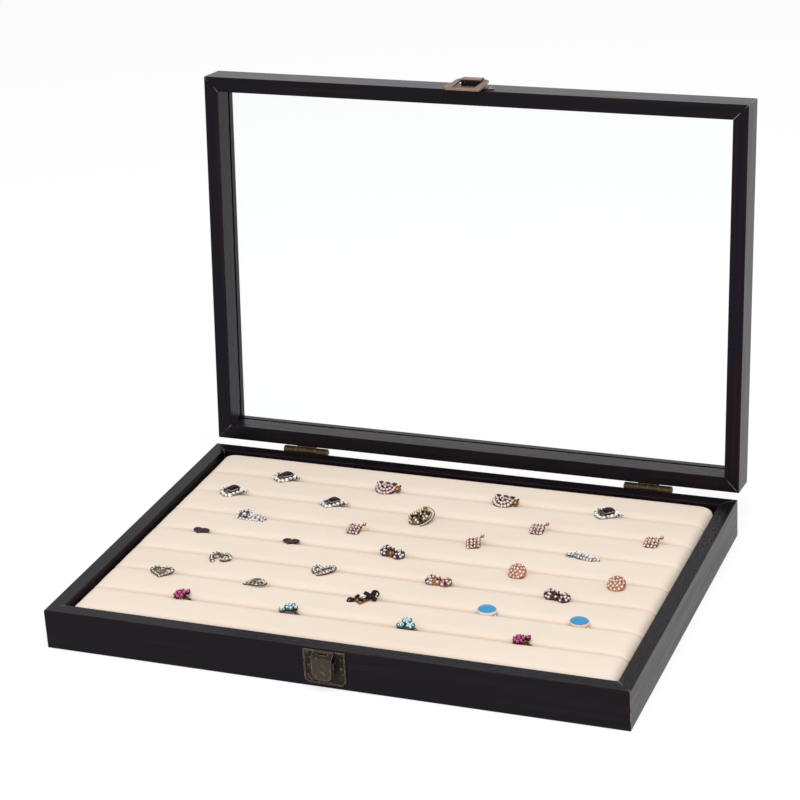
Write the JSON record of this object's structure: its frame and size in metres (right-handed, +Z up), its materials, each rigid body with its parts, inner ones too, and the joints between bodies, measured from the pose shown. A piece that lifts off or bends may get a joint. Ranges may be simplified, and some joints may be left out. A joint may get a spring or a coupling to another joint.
{
  "type": "ring display box",
  "caption": "Wood-grain case with a hinged glass lid, a snap hasp and a lift-out insert of velvet foam rolls that holds rings in rows.",
  "frame": {"origin": "centre of the tray's underside, the flat face it rests on", "axes": "+X along the box's length to the right, +Y to the hinges at the back, +Z up; the lid is stored open"},
  "size_m": [0.35, 0.2963, 0.27],
  "materials": {
    "case_foil": "satin wood-grain foil on fibreboard",
    "bottom_board": "matte hardboard",
    "insert_board": "matte",
    "foam_velvet": "short velvet over foam",
    "lid_glass": "clear",
    "antique_brass": "aged, rubbed bright on edges",
    "spring_steel": "satin",
    "ring_silver": "polished with clear stones",
    "ring_gold": "polished",
    "ring_rose_gold": "polished with pale stones",
    "ring_black": "blackened with dark stones",
    "ring_turquoise": "turquoise stone in a polished bezel",
    "ring_magenta": "magenta stones in a polished setting",
    "ring_aqua": "pale blue stones in a polished setting"
  },
  "bodies": {
    "base": {"base_front_rail": "case_foil", "base_rear_rail": "case_foil", "base_left_rail": "case_foil", "base_right_rail": "case_foil", "base_panel": "bottom_board", "catch_plate": "antique_brass", "catch_pin": "antique_brass", "catch_spring": "spring_steel", "catch_nails": "antique_brass", "hinge_left_base_leaf": "antique_brass", "hinge_right_base_leaf": "antique_brass", "hinge_left_pin": "antique_brass", "hinge_right_pin": "antique_brass", "hinge_base_nails": "antique_brass"},
    "catch_lever": {"catch_lever": "antique_brass"},
    "insert": {"insert_board": "insert_board", "ring_roll_1": "foam_velvet", "ring_roll_2": "foam_velvet", "ring_roll_3": "foam_velvet", "ring_roll_4": "foam_velvet", "ring_roll_5": "foam_velvet", "ring_roll_6": "foam_velvet", "ring_roll_7": "foam_velvet", "ring_roll_8": "foam_velvet", "ring_pear_halo": "ring_silver", "ring_dome_cluster": "ring_rose_gold", "ring_leaf_swirl": "ring_gold", "ring_square_pave": "ring_rose_gold", "ring_crystal_fan": "ring_silver", "ring_dark_heart": "ring_black", "ring_bow": "ring_rose_gold", "ring_oval_pave": "ring_rose_gold", "ring_silver_leaf": "ring_silver", "ring_open_heart": "ring_silver", "ring_black_ornate": "ring_black", "ring_oval_cabochon": "ring_turquoise", "ring_clover": "ring_magenta", "ring_three_stone": "ring_aqua"},
    "lid": {"lid_front_rail": "case_foil", "lid_rear_rail": "case_foil", "lid_left_rail": "case_foil", "lid_right_rail": "case_foil", "lid_glass": "lid_glass", "hinge_left_lid_leaf": "antique_brass", "hinge_right_lid_leaf": "antique_brass", "hinge_lid_nails": "antique_brass", "hasp_bracket": "antique_brass", "hasp_nails": "antique_brass"},
    "hasp_loop": {"hasp_loop": "antique_brass"}
  },
  "joints": [
    {"name": "lid_hinge", "type": "hinge", "parent": "base", "child": "lid", "pos_m": [0, 0.1226, 0.02475], "axis": [-1, 0, 0], "range_deg": [-96, 0]},
    {"name": "hasp_loop_swing", "type": "hinge", "parent": "lid", "child": "hasp_loop", "pos_m": [0, 0.16249, 0.26791], "axis": [-1, 0, 0], "range_deg": [0, 185]},
    {"name": "catch_lever_press", "type": "hinge", "parent": "base", "child": "catch_lever", "pos_m": [0, -0.1226, 0.0144], "axis": [1, 0, 0], "range_deg": [0, 18], "stiffness_Nm_per_rad": 0.05, "springref_deg": -8.59, "deforming": ["catch_spring"]},
    {"name": "insert_lift", "type": "slide", "parent": "base", "child": "insert", "axis": [0, 0, 1], "range_m": [0, 0.01]}
  ]
}
